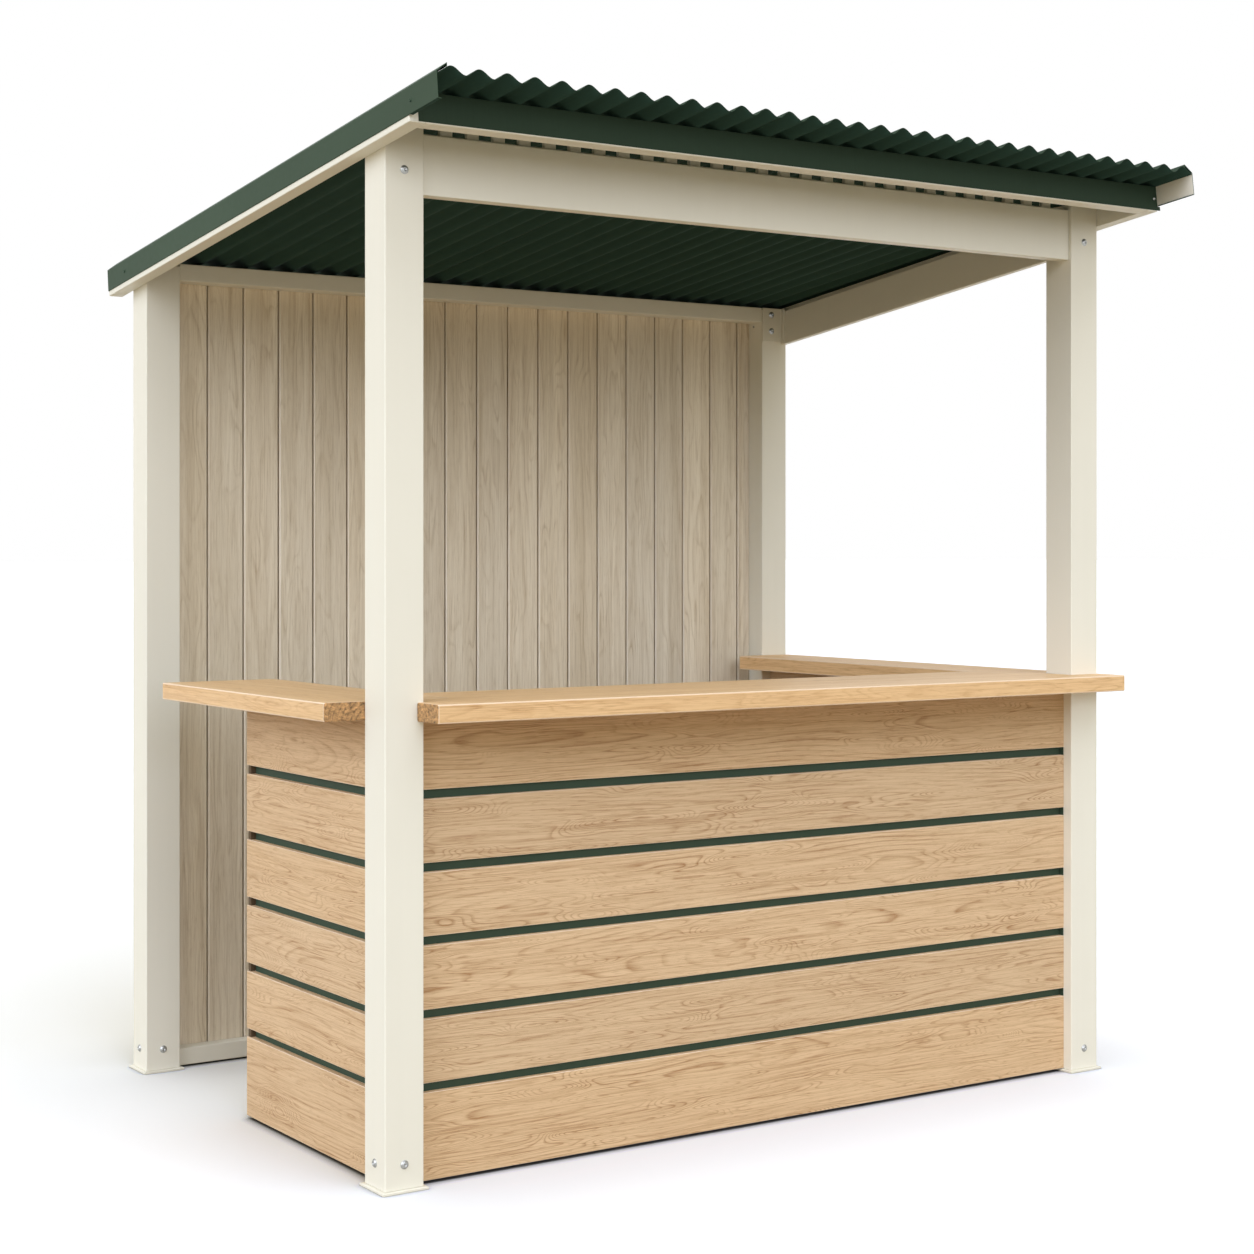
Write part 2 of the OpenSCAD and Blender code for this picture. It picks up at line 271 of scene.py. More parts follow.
def one_board(tree, size, path, height):
    """A board along a path, marked with its grain, its sawn ends and its rounded arrises."""
    outline = add(tree, "GeometryNodeCurvePrimitiveQuadrilateral",
                  {"Width": size["Thickness"], "Height": height})
    rounding = {"Curve": outline, "Radius": size["Arris"], "Count": size["Arris Steps"]}
    eased = add(tree, "GeometryNodeFilletCurve", rounding, mode="POLY")
    solid = add(tree, "GeometryNodeCurveToMesh",
                {"Curve": path, "Profile Curve": eased, "Fill Caps": True})
    flat = add(tree, "GeometryNodeSetShadeSmooth", {"Geometry": solid, "Shade Smooth": False})
    spot = parts_of(tree, tree.nodes.new("GeometryNodeInputPosition"))
    grain = triple(tree, spot["X"], spot["Z"], spot["Y"])
    marked = remember(tree, flat, "grain", grain, "FLOAT_VECTOR")
    facing = parts_of(tree, tree.nodes.new("GeometryNodeInputNormal"))
    square_on = maths(tree, "GREATER_THAN", maths(tree, "ABSOLUTE", facing["X"]), END_FACING)
    ended = remember(tree, marked, "end", square_on, domain="FACE")
    upright = maths(tree, "ABSOLUTE", facing["Z"])
    outward = maths(tree, "ABSOLUTE", facing["Y"])
    straight = maths(tree, "MAXIMUM", square_on, maths(tree, "MAXIMUM", upright, outward))
    slanted = maths(tree, "LESS_THAN", straight, FLAT_FACING)
    return remember(tree, ended, "arris", slanted, domain="FACE")


def board_row_recipe():
    """Boards along X, one over the other up Z: a first one, a run of like ones and a last one."""
    tree, size = new_recipe("board row", {
        "Length": SIZE, "Thickness": SIZE, "First Height": SIZE, "Middle Height": SIZE,
        "Last Height": SIZE, "Gap": SIZE, "Middle Count": COUNT, "Arris": SIZE,
        "Arris Steps": COUNT, "First Board": COUNT, "Turn": TRIPLE, "Place": TRIPLE, "Finish": FINISH})
    path = add(tree, "GeometryNodeCurvePrimitiveLine", {"End": triple(tree, size["Length"])})
    step = maths(tree, "ADD", size["Middle Height"], size["Gap"])
    middle_foot = maths(tree, "ADD", size["First Height"], size["Gap"])
    middle_start = maths(tree, "ADD", middle_foot, half(tree, size["Middle Height"]))
    last_foot = maths(tree, "MULTIPLY_ADD", step, size["Middle Count"], middle_foot)
    last_start = maths(tree, "ADD", last_foot, half(tree, size["Last Height"]))
    first_start = half(tree, size["First Height"])
    first_spot = add(tree, "GeometryNodePoints", {"Count": 1, "Position": triple(tree, z=first_start)})
    middle_spots = add(tree, "GeometryNodeMeshLine", mode="OFFSET")
    plug(tree, middle_spots.inputs["Count"], size["Middle Count"])
    plug(tree, middle_spots.inputs["Start Location"], triple(tree, z=middle_start))
    plug(tree, middle_spots.inputs["Offset"], triple(tree, z=step))
    last_spot = add(tree, "GeometryNodePoints", {"Count": 1, "Position": triple(tree, z=last_start)})
    row = tree.nodes.new("GeometryNodeJoinGeometry")
    spots = ((last_spot, "Last Height"), (middle_spots, "Middle Height"), (first_spot, "First Height"))
    for points, height in spots:
        instances = {"Points": points, "Instance": one_board(tree, size, path, size[height])}
        plug(tree, row.inputs[0], add(tree, "GeometryNodeInstanceOnPoints", instances))
    number = maths(tree, "ADD", tree.nodes.new("GeometryNodeInputIndex").outputs[0], size["First Board"])
    numbered = remember(tree, row, "board", number, domain="INSTANCE")
    set_up = add(tree, "GeometryNodeTransform",
                 {"Geometry": numbered, "Translation": size["Place"], "Rotation": size["Turn"]})
    serve(tree, set_up, size["Finish"])
    return tree


def corrugated_recipe():
    """A sheet whose height follows a cosine across the roof, lifted where it laps over its neighbour."""
    tree, size = new_recipe("corrugated sheet", {
        "From Wave": SIZE, "To Wave": SIZE, "Wave Pitch": SIZE, "Wave Depth": SIZE, "Seat": SIZE,
        "Lap Wave": SIZE, "Lap Lift": SIZE, "Start": SIZE, "End": SIZE, "Left Edge": SIZE,
        "Points Across": COUNT, "Points Down": COUNT, "Turn": TRIPLE, "Place": TRIPLE, "Finish": FINISH})
    grid = add(tree, "GeometryNodeMeshGrid", {
        "Size X": 1.0, "Size Y": 1.0,
        "Vertices X": size["Points Across"], "Vertices Y": size["Points Down"]})
    spot = parts_of(tree, tree.nodes.new("GeometryNodeInputPosition"))
    share_across = maths(tree, "ADD", spot["X"], 0.5)
    share_down = maths(tree, "ADD", spot["Y"], 0.5)
    span = maths(tree, "SUBTRACT", size["To Wave"], size["From Wave"])
    wave = maths(tree, "MULTIPLY_ADD", share_across, span, size["From Wave"])
    swing = maths(tree, "COSINE", maths(tree, "MULTIPLY", wave, 2 * math.pi))
    depth = half(tree, size["Wave Depth"])
    rise = maths(tree, "MULTIPLY_ADD", maths(tree, "SUBTRACT", 1.0, swing), depth, size["Seat"])
    lap = smooth_step(tree, wave, size["Lap Wave"], maths(tree, "ADD", size["Lap Wave"], 1.0))
    lifted = maths(tree, "MULTIPLY_ADD", lap, size["Lap Lift"], rise)
    across = maths(tree, "MULTIPLY_ADD", wave, size["Wave Pitch"], size["Left Edge"])
    length = maths(tree, "SUBTRACT", size["End"], size["Start"])
    down = maths(tree, "MULTIPLY_ADD", share_down, length, size["Start"])
    formed = add(tree, "GeometryNodeSetPosition",
                 {"Geometry": grid.outputs["Mesh"], "Position": triple(tree, across, down, lifted)})
    smooth = add(tree, "GeometryNodeSetShadeSmooth", {"Geometry": formed, "Shade Smooth": True})
    set_up = add(tree, "GeometryNodeTransform",
                 {"Geometry": smooth, "Translation": size["Place"], "Rotation": size["Turn"]})
    serve(tree, set_up, size["Finish"])
    return tree


def fixings_recipe():
    """One head on each point of the piece, turned to face out and then about its own axis."""
    tree, size = new_recipe("fixings", {"Head": SHAPE, "Seed": COUNT, "Finish": FINISH})
    head = add(tree, "GeometryNodeObjectInfo", {"Object": size["Head"]})
    facing = add(tree, "GeometryNodeInputNamedAttribute", {"Name": "facing"}, data_type="FLOAT_VECTOR")
    turned = add(tree, "FunctionNodeAlignRotationToVector", {"Vector": facing}, axis="Z")
    heads = add(tree, "GeometryNodeInstanceOnPoints", {
        "Points": size["Geometry"], "Instance": head.outputs["Geometry"], "Rotation": turned})
    spin = add(tree, "FunctionNodeRandomValue", data_type="FLOAT")
    plug(tree, spin.inputs[3], 2 * math.pi)
    plug(tree, spin.inputs["Seed"], size["Seed"])
    spun = add(tree, "GeometryNodeRotateInstances", {
        "Instances": heads, "Rotation": triple(tree, z=spin.outputs[1])})
    serve(tree, spun, size["Finish"])
    return tree


# Materials

def new_material(name):
    """An empty material and its shader."""
    made = bpy.data.materials.new(name)
    made.use_nodes = True
    tree = made.node_tree
    return made, tree, tree.nodes["Principled BSDF"]


def blend(tree, share, first, second, mode="MIX"):
    """Two colours mixed by a share."""
    mixed = tree.nodes.new("ShaderNodeMix")
    mixed.data_type = "RGBA"
    mixed.blend_type = mode
    plug(tree, mixed.inputs[0], share)
    plug(tree, mixed.inputs[6], first)
    plug(tree, mixed.inputs[7], second)
    return mixed.outputs[2]


def shaded(tree, colour, shade):
    """A colour made lighter or darker by a number about 1."""
    return blend(tree, 1.0, colour, triple(tree, shade, shade, shade), "MULTIPLY")


def ramp(tree, value, *stops):
    """A number turned into a shade between stops of (place, brightness)."""
    made = add(tree, "ShaderNodeValToRGB", {"Fac": value})
    stretch = made.color_ramp.elements
    while len(stretch) < len(stops):
        stretch.new(0.5)
    for element, (place, shade) in zip(stretch, stops):
        element.position = place
        element.color = (shade, shade, shade, 1)
    return made.outputs["Color"]


def noise(tree, where, scale=1.0, detail=2.0, roughness=0.5):
    """Soft noise around 0.5."""
    return add(tree, "ShaderNodeTexNoise", {
        "Vector": where, "Scale": scale, "Detail": detail, "Roughness": roughness}).outputs["Fac"]


def clear_noise(tree, where, detail, spread=0.40):
    """Noise stretched to the whole range from 0 to 1, the more so the smaller its spread is."""
    wide = add(tree, "ShaderNodeMapRange", {"Value": noise(tree, where, detail=detail, roughness=0.6)})
    plug(tree, wide.inputs["From Min"], 0.5 - spread / 2)
    plug(tree, wide.inputs["From Max"], 0.5 + spread / 2)
    return wide.outputs["Result"]


def stretched(tree, where, along, across, deep):
    """Coordinates scaled apart, so that a pattern runs along one of them."""
    return vectors(tree, "MULTIPLY", where, (along, across, deep))


def between(tree, value, low, high):
    """A number from 0 to 1 moved to the range from low to high."""
    return maths(tree, "MULTIPLY_ADD", value, high - low, low)


def bump(tree, shader, height, distance, strength=1.0):
    """Surface relief from a height in shares of a real distance."""
    relief = add(tree, "ShaderNodeBump", {"Height": height, "Distance": distance, "Strength": strength})
    plug(tree, shader.inputs["Normal"], relief.outputs["Normal"])


def linear(red, green, blue):
    """A colour as a screen shows it, from 0 to 255, in the renderer's own scale."""
    def one(value):
        share = value / 255
        return share / 12.92 if share <= 0.04045 else ((share + 0.055) / 1.055) ** 2.4
    return (one(red), one(green), one(blue), 1)


def thin_lines(tree, where, width):
    """Thin lines where a soft noise passes its middle, fading to nothing over the width."""
    away = maths(tree, "ABSOLUTE", maths(tree, "SUBTRACT", noise(tree, where, detail=1.0), 0.5))
    faded = add(tree, "ShaderNodeMapRange", {"Value": away, "From Max": width})
    plug(tree, faded.inputs["To Min"], 1.0)
    plug(tree, faded.inputs["To Max"], 0.0)
    return faded.outputs["Result"]


def attribute(tree, name, output="Fac"):
    """A value that the mesh holds under a name."""
    return add(tree, "ShaderNodeAttribute", attribute_name=name).outputs[output]


def object_place(tree):
    """Where a point lies on the piece, in metres."""
    return add(tree, "ShaderNodeTexCoord").outputs["Object"]


def place_in_log(tree, luck):
    """Where a point lies in the log that its board was sawn from: along it, aside and below the face."""
    shift = triple(tree, maths(tree, "MULTIPLY", luck["X"], 40.0),
                   between(tree, luck["Y"], -0.06, 0.06),
                   between(tree, luck["Z"], 0.02, 0.10))
    return vectors(tree, "ADD", attribute(tree, "grain", "Vector"), shift)


def growth_rings(tree, log, ring_width, eyes):
    """Lines of the growth rings round a pith that wanders along the board, which draws them out
    into arches. Small swellings in the log close some of them into eyes."""
    place = parts_of(tree, log)
    bend = noise(tree, stretched(tree, log, 0.75, 1.5, 1.5), detail=2.0)
    elsewhere = vectors(tree, "ADD", stretched(tree, log, 0.6, 1.0, 1.0), (7.3, 1.9, 4.1))
    sway = noise(tree, elsewhere, detail=2.0)
    tremor = noise(tree, stretched(tree, log, 5.0, 36.0, 36.0), detail=5.0, roughness=0.6)
    aside = maths(tree, "ADD", place["Y"], between(tree, sway, -0.08, 0.08))
    below = maths(tree, "ADD", place["Z"], between(tree, bend, -0.09, 0.09))
    off_pith = triple(tree, aside, below)
    reach = add(tree, "ShaderNodeVectorMath", {0: off_pith}, operation="LENGTH").outputs["Value"]
    reach = maths(tree, "ADD", reach, between(tree, tremor, -0.0014, 0.0014))
    lumps = noise(tree, stretched(tree, log, 2.8, 20.0, 20.0), detail=1.0)
    swollen = maths(tree, "MULTIPLY", smooth_step(tree, lumps, 0.45, 0.80), eyes)
    rings_out = maths(tree, "ADD", swollen, maths(tree, "DIVIDE", reach, ring_width))
    ring = maths(tree, "FRACT", rings_out)
    return ramp(tree, ring, (0.0, 0.2), (0.1, 0.0), (0.60, 0.0), (0.92, 1.0), (1.0, 0.2))


def fibre_lines(tree, log):
    """Long and short lines that lie along the board and waver a little, and its pores."""
    place = parts_of(tree, log)
    wander = noise(tree, stretched(tree, log, 1.8, 7.0, 7.0))
    waver = maths(tree, "MULTIPLY_ADD", wander, 0.03, place["Y"])
    bed = triple(tree, place["X"], waver, place["Z"])
    long_lines = thin_lines(tree, stretched(tree, bed, 1.5, 95.0, 95.0), 0.06)
    long_fade = clear_noise(tree, stretched(tree, log, 2.5, 14.0, 14.0), 2.0, 0.5)
    short_lines = thin_lines(tree, stretched(tree, bed, 3.0, 150.0, 150.0), 0.08)
    pores = noise(tree, stretched(tree, log, 26.0, 420.0, 420.0), detail=1.0)
    pore_marks = ramp(tree, pores, (0.0, 1.0), (0.33, 1.0), (0.40, 0.0), (1.0, 0.0))
    return maths(tree, "MULTIPLY", long_lines, long_fade), short_lines, pore_marks


def end_grain(tree, log, ring_line, colour):
    """The mottled colour of a sawn end, with its rings."""
    mottle = clear_noise(tree, stretched(tree, log, 40.0, 90.0, 150.0), 4.0, 0.34)
    ring_shade = maths(tree, "MULTIPLY", ring_line, 0.35)
    return shaded(tree, colour, maths(tree, "SUBTRACT", between(tree, mottle, 0.38, 1.42), ring_shade))


def wood(name, pale, deep, end_colour, ring_width, eyes, figure, fibre, streak,
         board_spread, arris_highlight, roughness):
    """Sawn wood: growth rings, fine fibre along the board and a painted highlight that lightens the
    arrises towards white.
    The grain attribute gives each board its own length, width and depth."""
    made, tree, shader = new_material(name)
    chance = add(tree, "ShaderNodeTexWhiteNoise", {"W": attribute(tree, "board")}, noise_dimensions="1D")
    luck = parts_of(tree, chance.outputs["Color"])
    log = place_in_log(tree, luck)
    ring_line = growth_rings(tree, log, ring_width, eyes)
    ring_fade = clear_noise(tree, stretched(tree, log, 3.0, 22.0, 22.0), 2.0)
    ring_share = maths(tree, "MULTIPLY", ring_line, between(tree, ring_fade, 0.0, figure))
    long_lines, short_lines, pore_marks = fibre_lines(tree, log)
    streaks = clear_noise(tree, stretched(tree, log, 0.9, 26.0, 26.0), 3.0)
    darker = maths(tree, "MULTIPLY_ADD", streaks, streak, ring_share)
    darker = maths(tree, "MULTIPLY_ADD", long_lines, fibre, darker)
    darker = maths(tree, "MULTIPLY_ADD", short_lines, 0.5 * fibre, darker)
    darker = maths(tree, "MULTIPLY_ADD", pore_marks, 0.6 * fibre, darker)
    face = blend(tree, darker, pale, deep)
    # Each board has its own tone, and warm and cool ones stand side by side
    face = shaded(tree, face, between(tree, luck["X"], 1 - board_spread, 1 + board_spread))
    warmth = blend(tree, luck["Y"], (1.02, 1.0, 0.965, 1), (0.985, 1.0, 1.03, 1))
    face = blend(tree, 1.0, face, warmth, "MULTIPLY")
    # Painted highlight: the arris faces are lightened towards white by the given share
    highlight_colour = [part + 0.35 * (1 - part) for part in pale]
    face = blend(tree, maths(tree, "MULTIPLY", attribute(tree, "arris"), arris_highlight), face, highlight_colour)
    cut = end_grain(tree, log, ring_line, end_colour)
    plug(tree, shader.inputs["Base Color"], blend(tree, attribute(tree, "end"), face, cut))
    plug(tree, shader.inputs["Roughness"], between(tree, streaks, roughness - 0.06, roughness + 0.08))
    shader.inputs["Specular IOR Level"].default_value = 0.35
    relief = maths(tree, "MULTIPLY_ADD", pore_marks, 0.6, maths(tree, "MULTIPLY", short_lines, 0.4))
    relief = maths(tree, "MULTIPLY_ADD", ring_share, 0.4, relief)
    bump(tree, shader, maths(tree, "SUBTRACT", 1.0, relief), 0.0003)
    return made


def paint(name, colour, roughness, streak, gloss=0.5):
    """Sprayed paint: slight clouding, faint runs down the piece, small specks and a fine peel."""
    made, tree, shader = new_material(name)
    where = object_place(tree)
    clouds = noise(tree, where, scale=1.6, detail=3.0)
    runs = noise(tree, stretched(tree, where, 45.0, 45.0, 1.5), detail=3.0)
    peel = noise(tree, where, scale=420.0, detail=2.0)
    grit = noise(tree, where, scale=140.0, detail=4.0, roughness=0.7)
    specks = ramp(tree, grit, (0.0, 0.0), (0.66, 0.0), (0.74, 1.0), (1.0, 1.0))
    run_shade = between(tree, runs, 1 - streak, 1 + streak)
    shade = maths(tree, "MULTIPLY", between(tree, clouds, 0.955, 1.045), run_shade)
    shade = maths(tree, "SUBTRACT", shade, maths(tree, "MULTIPLY", specks, 0.03))
    plug(tree, shader.inputs["Base Color"], shaded(tree, colour, shade))
    plug(tree, shader.inputs["Roughness"], between(tree, grit, roughness - 0.06, roughness + 0.06))
    shader.inputs["Specular IOR Level"].default_value = gloss
    bump(tree, shader, peel, 0.00012)
    return made


def coated_sheet(name, colour, backing, roughness):
    """Coil-coated steel: an even coat with faint roll lines down the slope, dust and chalking,
    and a backing coat on what looks down, set darker partly as painted shade."""
    made, tree, shader = new_material(name)
    coordinates = add(tree, "ShaderNodeTexCoord").outputs
    where = coordinates["Object"]
    # Painted shade, in part: faces that look down take the backing colour
    below = maths(tree, "LESS_THAN", parts_of(tree, coordinates["Normal"])["Z"], -0.3)
    coat_and_painted_shade = blend(tree, below, colour, backing)
    clouds = noise(tree, where, scale=2.3, detail=4.0)
    lines = noise(tree, stretched(tree, where, 160.0, 1.2, 1.2), detail=3.0)
    dust = noise(tree, where, scale=55.0, detail=5.0, roughness=0.7)
    shade = maths(tree, "MULTIPLY", between(tree, clouds, 0.86, 1.14), between(tree, lines, 0.92, 1.08))
    shade = maths(tree, "MULTIPLY", shade, between(tree, dust, 0.94, 1.06))
    plug(tree, shader.inputs["Base Color"], shaded(tree, coat_and_painted_shade, shade))
    sheen = between(tree, dust, roughness - 0.08, roughness + 0.12)
    plug(tree, shader.inputs["Roughness"], maths(tree, "MULTIPLY_ADD", below, 0.4, sheen))
    shader.inputs["Specular IOR Level"].default_value = 0.12
    bump(tree, shader, maths(tree, "ADD", clouds, maths(tree, "MULTIPLY", dust, 0.1)), 0.0008)
    return made


def zinc(name, dull, bright):
    """Zinc plate, slightly blotched."""
    made, tree, shader = new_material(name)
    blotches = noise(tree, object_place(tree), scale=260.0, detail=3.0)
    plug(tree, shader.inputs["Base Color"], blend(tree, blotches, dull, bright))
    plug(tree, shader.inputs["Roughness"], between(tree, blotches, 0.30, 0.48))
    shader.inputs["Metallic"].default_value = 1.0
    return made


def rubber(name, dark, pale):
    """Dull black packing."""
    made, tree, shader = new_material(name)
    grit = noise(tree, object_place(tree), scale=300.0, detail=3.0)
    plug(tree, shader.inputs["Base Color"], blend(tree, grit, dark, pale))
    plug(tree, shader.inputs["Roughness"], between(tree, grit, 0.6, 0.85))
    bump(tree, shader, grit, 0.0003)
    return made


# Finishes

CREAM = paint("cream paint", linear(231, 227, 213), 0.48, 0.012)
CREAM_STEEL = paint("cream steel paint", linear(229, 225, 211), 0.40, 0.008)
CREAM_BACKING = paint("cream backing coat", linear(232, 226, 211), 0.55, 0.012)
BOARD_GREEN = paint("green board paint", linear(57, 75, 60), 0.60, 0.02, gloss=0.2)
# The gap blocks take a dark brown that paints the shade falling in the gaps between the slats
BLOCK_SHADE_BROWN = paint("brown gap blocks", linear(88, 72, 53), 0.70, 0.05, gloss=0.2)
ROOF_GREEN = coated_sheet("green roof coating", linear(46, 62, 47), linear(41, 64, 53), 0.50)
# The verges take a lighter copy of the roof coating, as painted light and sheen on the verges
LIT_VERGE_GREEN = coated_sheet("green verge coating", linear(58, 75, 58), linear(41, 64, 53), 0.50)
OAK_SLAT = wood(
    "oak slats", linear(218, 188, 150), linear(158, 115, 72), linear(164, 122, 76),
    ring_width=0.009, eyes=9.0, figure=0.70, fibre=0.44, streak=0.12,
    board_spread=0.04, arris_highlight=0.7, roughness=0.58)
OAK_TOP = wood(
    "oak counter tops", linear(235, 197, 147), linear(180, 131, 78), linear(182, 139, 90),
    ring_width=0.012, eyes=4.0, figure=0.40, fibre=0.36, streak=0.16,
    board_spread=0.03, arris_highlight=0.7, roughness=0.46)
OAK_LINING = wood(
    "oak lining", linear(214, 185, 149), linear(160, 117, 74), linear(164, 122, 76),
    ring_width=0.010, eyes=7.0, figure=0.50, fibre=0.34, streak=0.14,
    board_spread=0.03, arris_highlight=0.7, roughness=0.60)
WALL_WOOD = wood(
    "limed wall boards", linear(243, 232, 211), linear(172, 148, 111), linear(170, 156, 134),
    ring_width=0.018, eyes=2.5, figure=0.36, fibre=0.28, streak=0.38,
    board_spread=0.07, arris_highlight=0.42, roughness=0.66)
# The tongues are dark wood, darkened further to paint the shade in the joints
SHADED_TONGUE_WOOD = wood(
    "wall board tongues", linear(30, 23, 14), linear(20, 15, 9), linear(25, 19, 12),
    ring_width=0.018, eyes=4.0, figure=0.20, fibre=0.20, streak=0.30,
    board_spread=0.02, arris_highlight=0.0, roughness=0.70)
ZINC = zinc("zinc bolts", (0.30, 0.30, 0.28, 1), (0.48, 0.475, 0.44, 1))
FOOT_BLACK = rubber("black foot packing", (0.008, 0.009, 0.008, 1), (0.022, 0.023, 0.021, 1))


# Solid pieces over the frame

MERGE_DISTANCE = 0.00002
FLAT_ANGLE = math.radians(1)
SHARP_ANGLE = math.radians(20)


def eased_mesh(node, arris, steps):
    """A copy of a frame node with its loose triangles merged and its arrises rounded."""
    work = bmesh.new()
    work.from_mesh(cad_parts[node].data)
    bmesh.ops.remove_doubles(work, verts=work.verts, dist=MERGE_DISTANCE)
    bmesh.ops.dissolve_limit(work, angle_limit=FLAT_ANGLE, verts=work.verts, edges=work.edges)
    sharp = [e for e in work.edges if len(e.link_faces) == 2 and e.calc_face_angle() > SHARP_ANGLE]
    bmesh.ops.bevel(work, geom=sharp, offset=arris, offset_type="OFFSET", segments=steps,
                    profile=0.5, affect="EDGES", clamp_overlap=True)
    for face in work.faces:
        face.smooth = False
    return work


def finished(work, name, *materials):
    """The piece made from a bmesh, with its materials."""
    mesh = bpy.data.meshes.new(name)
    work.to_mesh(mesh)
    work.free()
    for material in materials:
        mesh.materials.append(material)
    return new_piece(name, mesh)


def stands_for(piece, slot, *nodes):
    """Rides a piece on the stall and hides the nodes that it stands for; its slot is not used."""
    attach(piece, "root")
    if nodes:
        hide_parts(*nodes)
    return piece


def mark_grain(piece, along, across, deep, board):
    """Gives a piece the grain, board, end and arris attributes that the wood materials read."""
    mesh = piece.data
    low = [min(v.co[axis] for v in mesh.vertices) for axis in range(3)]
    high = [max(v.co[axis] for v in mesh.vertices) for axis in range(3)]
    middle = [(a + b) / 2 for a, b in zip(low, high)]
    places = [vertex.co - Vector(middle) for vertex in mesh.vertices]
    square_on = [float(abs(face.normal[along]) > END_FACING) for face in mesh.polygons]
    eased = [float(max(abs(part) for part in face.normal) < FLAT_FACING) for face in mesh.polygons]
    mesh.attributes.new("grain", "FLOAT_VECTOR", "POINT")
    mesh.attributes.new("board", "FLOAT", "POINT")
    mesh.attributes.new("end", "FLOAT", "FACE")
    mesh.attributes.new("arris", "FLOAT", "FACE")
    for index, place in enumerate(places):
        mesh.attributes["grain"].data[index].vector = (place[along], place[across], place[deep])
        mesh.attributes["board"].data[index].value = board
    for index, ends_here in enumerate(square_on):
        mesh.attributes["end"].data[index].value = ends_here
        mesh.attributes["arris"].data[index].value = eased[index]
    return piece


def other(axis):
    """The other level axis."""
    return Y if axis == X else X


def add_bar(work, start, wide, long, tall):
    """Adds a small closed bar with three edges from one corner."""
    spots = [start + wide * i + long * j + tall * k for i in (0, 1) for j in (0, 1) for k in (0, 1)]
    verts = [work.verts.new(spot) for spot in spots]
    faces = ((0, 1, 3, 2), (4, 6, 7, 5), (0, 4, 5, 1), (2, 3, 7, 6), (0, 2, 6, 4), (1, 5, 7, 3))
    made = [work.faces.new([verts[i] for i in face]) for face in faces]
    bmesh.ops.recalc_face_normals(work, faces=made)


def painted(node, arris, steps, material, slot):
    """A frame node with rounded arrises and its coat of paint."""
    stands_for(finished(eased_mesh(node, arris, steps), "painted_" + node, material), slot, node)


def painted_frame():
    """Posts, beams, rails and the toothed strip, then the steel feet and brackets."""
    corners = [f"{end}_{side}" for end in ("front", "rear") for side in ("left", "right")]
    beams = ["front_beam", "side_beam", "roof_rail_left", "roof_rail_right", "roof_rail_front",
             "wall_rail_top", "wall_rail_foot"]
    for node in ["post_" + place for place in corners] + beams:
        painted(node, FRAME_ARRIS, 2, CREAM, "frame_paint")
    painted("eave_strip", STRIP_ARRIS, 1, CREAM, "frame_paint")
    for node in ["foot_" + place for place in corners] + ["bracket_front", "bracket_rear"]:
        painted(node, STEEL_ARRIS, 2, CREAM_STEEL, "steel_paint")


def roof_sheets():
    """Two corrugated sheets, the left one lapped over the right one."""
    recipe = corrugated_recipe()
    shared = {
        "Wave Pitch": WAVE_PITCH, "Wave Depth": WAVE_DEPTH, "Seat": SHEET_SEAT, "Lap Lift": LAP_LIFT,
        "Start": SHEET_START, "End": SHEET_END, "Left Edge": ROOF_LEFT,
        "Points Down": POINTS_DOWN_SHEET, "Turn": (-ROOF_FALL, 0.0, 0.0),
        "Place": tuple(at(0, 0, ROOF_HEIGHT)), "Finish": ROOF_GREEN}
    # First wave, last wave, and the wave where the lap lifts, which the right sheet never reaches
    runs = {
        "roof_sheet_left": (0.0, LEFT_WAVES - LAP_OVER, LEFT_WAVES - 2.0),
        "roof_sheet_right": (LEFT_WAVES - 1 + LAP_UNDER, float(WAVE_COUNT), WAVE_COUNT + 1.0)}
    for node, (first, last, lap) in runs.items():
        values = dict(shared, **{"From Wave": first, "To Wave": last, "Lap Wave": lap,
                                 "Points Across": round((last - first) * POINTS_A_WAVE) + 1})
        thickness = {"thickness": SHEET_THICKNESS, "offset": 1.0}
        sheet = cook(new_piece("corrugated_" + node), recipe, values, ("SOLIDIFY", thickness))
        stands_for(sheet, "roof_green", node)


def verge(side, inward, edge):
    """A verge flashing, green outside and cream inside, with a lip under the overhang and a hem
    turned down to the sheet."""
    node = "verge_" + side
    work = eased_mesh(node, FOLD_ARRIS, 1)
    inner_plane = at(edge, 0, 0).x
    for face in work.faces:
        inside = abs(face.calc_center_median().x - inner_plane) < FLASHING_THICKNESS / 5
        face.material_index = int(inside and face.normal.x * inward > SIDE_FACING)
    front = SHEET_START + FOLD_END_SET
    lip_length = -FASCIA_REACH - SHEET_START - LIP_END_SET
    add_bar(work, on_slope(edge, front, -FLASHING_DROP), Vector((inward * LIP_WIDTHS[side], 0, 0)),
            ROOF_DOWN * lip_length, ROOF_UP * LIP_THICKNESS)
    hem_x = edge + inward * (FLANGE_WIDTH - HEM_THICKNESS)
    hem_length = SHEET_END - SHEET_START - 2 * FOLD_END_SET
    add_bar(work, on_slope(hem_x, front, FLANGE_RISE - HEM_DROP), Vector((inward * HEM_THICKNESS, 0, 0)),
            ROOF_DOWN * hem_length, ROOF_UP * HEM_DROP)
    stands_for(finished(work, "folded_" + node, LIT_VERGE_GREEN, CREAM_BACKING), "roof_green", node)


def flashings():
    """Both verge flashings, and the fascia with its tab."""
    verge("left", 1, ROOF_LEFT)
    verge("right", -1, ROOF_RIGHT)
    work = eased_mesh("fascia_front", FOLD_ARRIS, 1)
    tab_drop = RAIL_DEPTH - FASCIA_REVEAL
    add_bar(work, on_slope(ROOF_RIGHT, -FASCIA_REACH, -tab_drop), Vector((FASCIA_TAB, 0, 0)),
            ROOF_DOWN * FLASHING_THICKNESS, ROOF_UP * (tab_drop - FLASHING_DROP - TAB_SET))
    stands_for(finished(work, "folded_fascia_front", ROOF_GREEN), "roof_green", "fascia_front")


